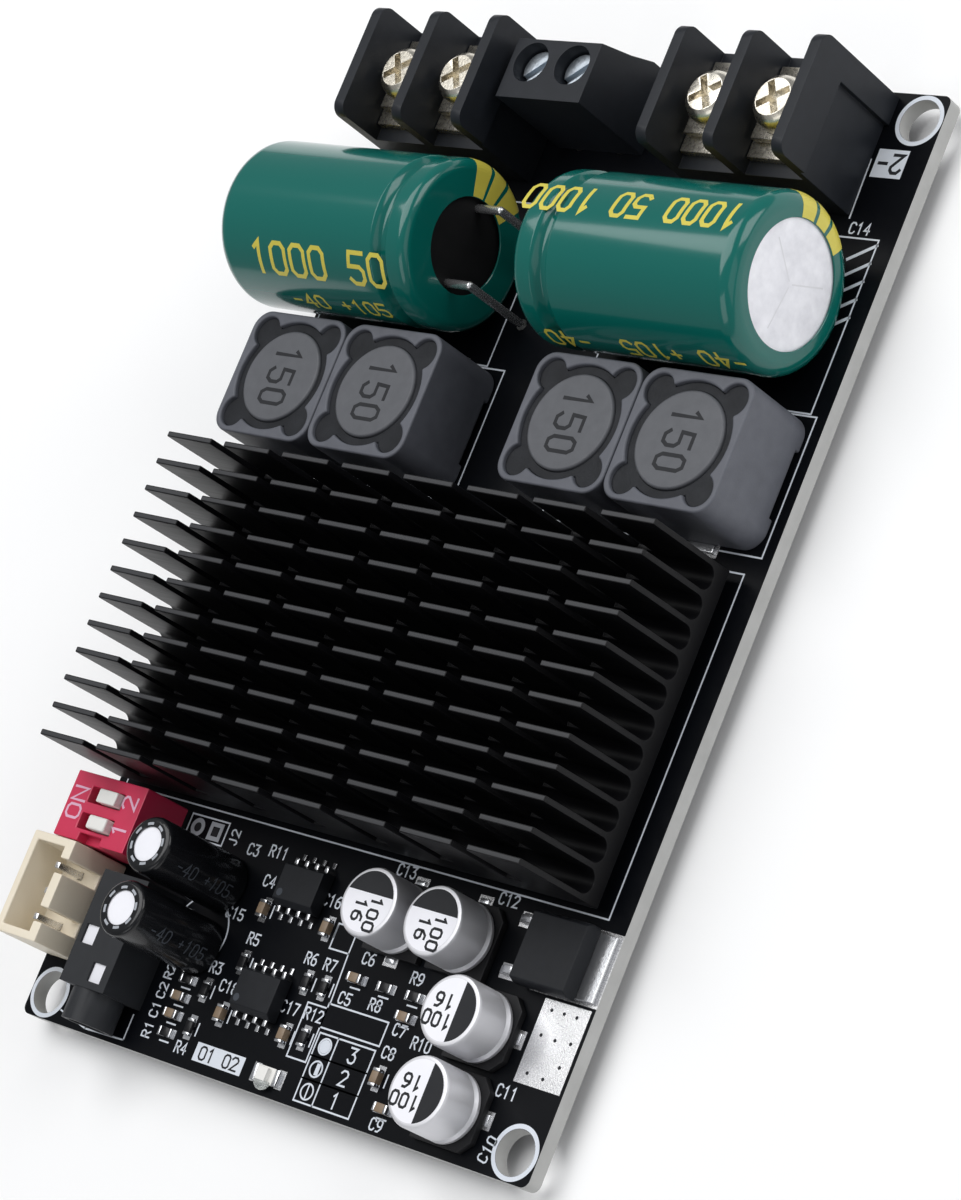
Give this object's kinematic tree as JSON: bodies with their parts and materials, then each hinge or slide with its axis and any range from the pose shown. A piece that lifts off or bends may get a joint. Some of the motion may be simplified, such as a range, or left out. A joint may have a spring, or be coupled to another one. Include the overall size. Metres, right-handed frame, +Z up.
{
  "type": "stereo audio amplifier board",
  "caption": "Black stereo audio amplifier board with a finned heatsink, green lying capacitors, shielded inductors, screw terminals, a switch block, a pin header and an audio jack.",
  "frame": {"origin": "centre of the four mounting holes, on the board underside", "axes": "+X across the board, +Y along the board towards the speaker terminals, +Z up out of the component side"},
  "size_m": [0.0651, 0.099, 0.019],
  "materials": {
    "solder_mask": "black solder mask over glass laminate",
    "solder": "bright tin solder",
    "black_anodised": "black anodised, satin",
    "plated_steel": "nickel plated",
    "thermal_pad": "soft grey gap filler",
    "moulded_epoxy": "moulded black epoxy",
    "tinned_lead": "matt tin plate",
    "green_sleeve": "heat shrunk green sleeve",
    "bare_aluminium": "bright drawn aluminium",
    "rubber_bung": "black rubber",
    "ferrite": "dark grey sintered ferrite",
    "ferrite_core": "ground grey ferrite",
    "resin": "dark potting resin",
    "black_thermoset": "black moulded terminal plastic",
    "brass_clamp": "plated brass",
    "red_plastic": "red moulded plastic",
    "dark_plastic": "dark grey plastic",
    "white_plastic": "white plastic",
    "ivory_nylon": "ivory nylon",
    "black_sleeve": "black sleeve",
    "vent_top": "bright can top",
    "chip_black": "black glazed film",
    "chip_tan": "tan ceramic",
    "lamp_lens": "pale diffusing lens"
  },
  "bodies": {
    "board": {"circuit_board": "solder_mask", "solder_joints": "solder", "heatsink": "black_anodised", "heatsink_screws": "plated_steel", "thermal_pad": "thermal_pad", "amplifier_chip": "moulded_epoxy", "amplifier_leads": "tinned_lead", "left_cap_sleeve": "green_sleeve", "left_cap_can": "bare_aluminium", "left_cap_bung": "rubber_bung", "left_cap_leads": "tinned_lead", "right_cap_sleeve": "green_sleeve", "right_cap_can": "bare_aluminium", "right_cap_bung": "rubber_bung", "right_cap_leads": "tinned_lead", "inductor_shields": "ferrite", "inductor_cores": "ferrite_core", "inductor_resin": "resin", "inductor_terminals": "tinned_lead", "left_barrier_housing": "black_thermoset", "right_barrier_housing": "black_thermoset", "barrier_contacts": "plated_steel", "power_housing": "black_thermoset", "power_contacts": "plated_steel", "switch_cover": "red_plastic", "switch_base": "dark_plastic", "switch_pins": "tinned_lead", "header_housing": "ivory_nylon", "header_pins": "tinned_lead", "jack_body": "black_thermoset", "jack_contacts": "plated_steel", "can_sleeves": "black_sleeve", "can_bodies": "vent_top", "can_leads": "tinned_lead", "surface_cap_bases": "dark_plastic", "surface_cap_cans": "bare_aluminium", "surface_cap_terminals": "tinned_lead", "opamp_bodies": "moulded_epoxy", "opamp_leads": "tinned_lead", "regulator_body": "moulded_epoxy", "regulator_metal": "tinned_lead", "chip_resistors": "chip_black", "chip_capacitors": "chip_tan", "chip_ends": "tinned_lead", "power_lamp": "lamp_lens"},
    "barrier_washer_1_body": {"barrier_washer_1": "plated_steel"},
    "barrier_washer_2_body": {"barrier_washer_2": "plated_steel"},
    "barrier_washer_3_body": {"barrier_washer_3": "plated_steel"},
    "barrier_washer_4_body": {"barrier_washer_4": "plated_steel"},
    "barrier_screw_1_body": {"barrier_screw_1": "plated_steel"},
    "barrier_screw_2_body": {"barrier_screw_2": "plated_steel"},
    "barrier_screw_3_body": {"barrier_screw_3": "plated_steel"},
    "barrier_screw_4_body": {"barrier_screw_4": "plated_steel"},
    "power_clamp_1_body": {"power_clamp_1": "brass_clamp"},
    "power_clamp_2_body": {"power_clamp_2": "brass_clamp"},
    "power_screw_1_body": {"power_screw_1": "plated_steel"},
    "power_screw_2_body": {"power_screw_2": "plated_steel"},
    "switch_slider_1_body": {"switch_slider_1": "white_plastic"},
    "switch_slider_2_body": {"switch_slider_2": "white_plastic"}
  },
  "joints": [
    {"name": "barrier_lift_1", "type": "slide", "parent": "board", "child": "barrier_washer_1_body", "axis": [0, 0, 1], "range_m": [0, 0.003]},
    {"name": "barrier_turn_1", "type": "hinge", "parent": "barrier_washer_1_body", "child": "barrier_screw_1_body", "pos_m": [-0.02329, 0.0433, 0.0097], "axis": [0, 0, 1], "range_deg": [0, 2161]},
    {"name": "barrier_lift_2", "type": "slide", "parent": "board", "child": "barrier_washer_2_body", "axis": [0, 0, 1], "range_m": [0, 0.003]},
    {"name": "barrier_turn_2", "type": "hinge", "parent": "barrier_washer_2_body", "child": "barrier_screw_2_body", "pos_m": [-0.01567, 0.0433, 0.0097], "axis": [0, 0, 1], "range_deg": [0, 2161]},
    {"name": "barrier_lift_3", "type": "slide", "parent": "board", "child": "barrier_washer_3_body", "axis": [0, 0, 1], "range_m": [0, 0.003]},
    {"name": "barrier_turn_3", "type": "hinge", "parent": "barrier_washer_3_body", "child": "barrier_screw_3_body", "pos_m": [0.01447, 0.0433, 0.0097], "axis": [0, 0, 1], "range_deg": [0, 2161]},
    {"name": "barrier_lift_4", "type": "slide", "parent": "board", "child": "barrier_washer_4_body", "axis": [0, 0, 1], "range_m": [0, 0.003]},
    {"name": "barrier_turn_4", "type": "hinge", "parent": "barrier_washer_4_body", "child": "barrier_screw_4_body", "pos_m": [0.02209, 0.0433, 0.0097], "axis": [0, 0, 1], "range_deg": [0, 2161]},
    {"name": "power_turn_1", "type": "hinge", "parent": "board", "child": "power_screw_1_body", "pos_m": [-0.00736, 0.04504, 0.00935], "axis": [0, 0, 1], "range_deg": [-1225, 0]},
    {"name": "power_rise_1", "type": "slide", "parent": "board", "child": "power_clamp_1_body", "axis": [0, 0, 1], "range_m": [0, 0.0017]},
    {"name": "power_turn_2", "type": "hinge", "parent": "board", "child": "power_screw_2_body", "pos_m": [-0.00228, 0.04504, 0.00935], "axis": [0, 0, 1], "range_deg": [-1225, 0]},
    {"name": "power_rise_2", "type": "slide", "parent": "board", "child": "power_clamp_2_body", "axis": [0, 0, 1], "range_m": [0, 0.0017]},
    {"name": "switch_slide_1", "type": "slide", "parent": "board", "child": "switch_slider_1_body", "axis": [-1, 0, 0], "range_m": [0, 0.0018]},
    {"name": "switch_slide_2", "type": "slide", "parent": "board", "child": "switch_slider_2_body", "axis": [-1, 0, 0], "range_m": [0, 0.0018]}
  ],
  "couplings": [
    {"joint": "barrier_turn_1", "follows": "barrier_lift_1", "rad_per_m": 12566},
    {"joint": "barrier_turn_2", "follows": "barrier_lift_2", "rad_per_m": 12566},
    {"joint": "barrier_turn_3", "follows": "barrier_lift_3", "rad_per_m": 12566},
    {"joint": "barrier_turn_4", "follows": "barrier_lift_4", "rad_per_m": 12566},
    {"joint": "power_turn_1", "follows": "power_rise_1", "rad_per_m": -12566},
    {"joint": "power_turn_2", "follows": "power_rise_2", "rad_per_m": -12566}
  ]
}
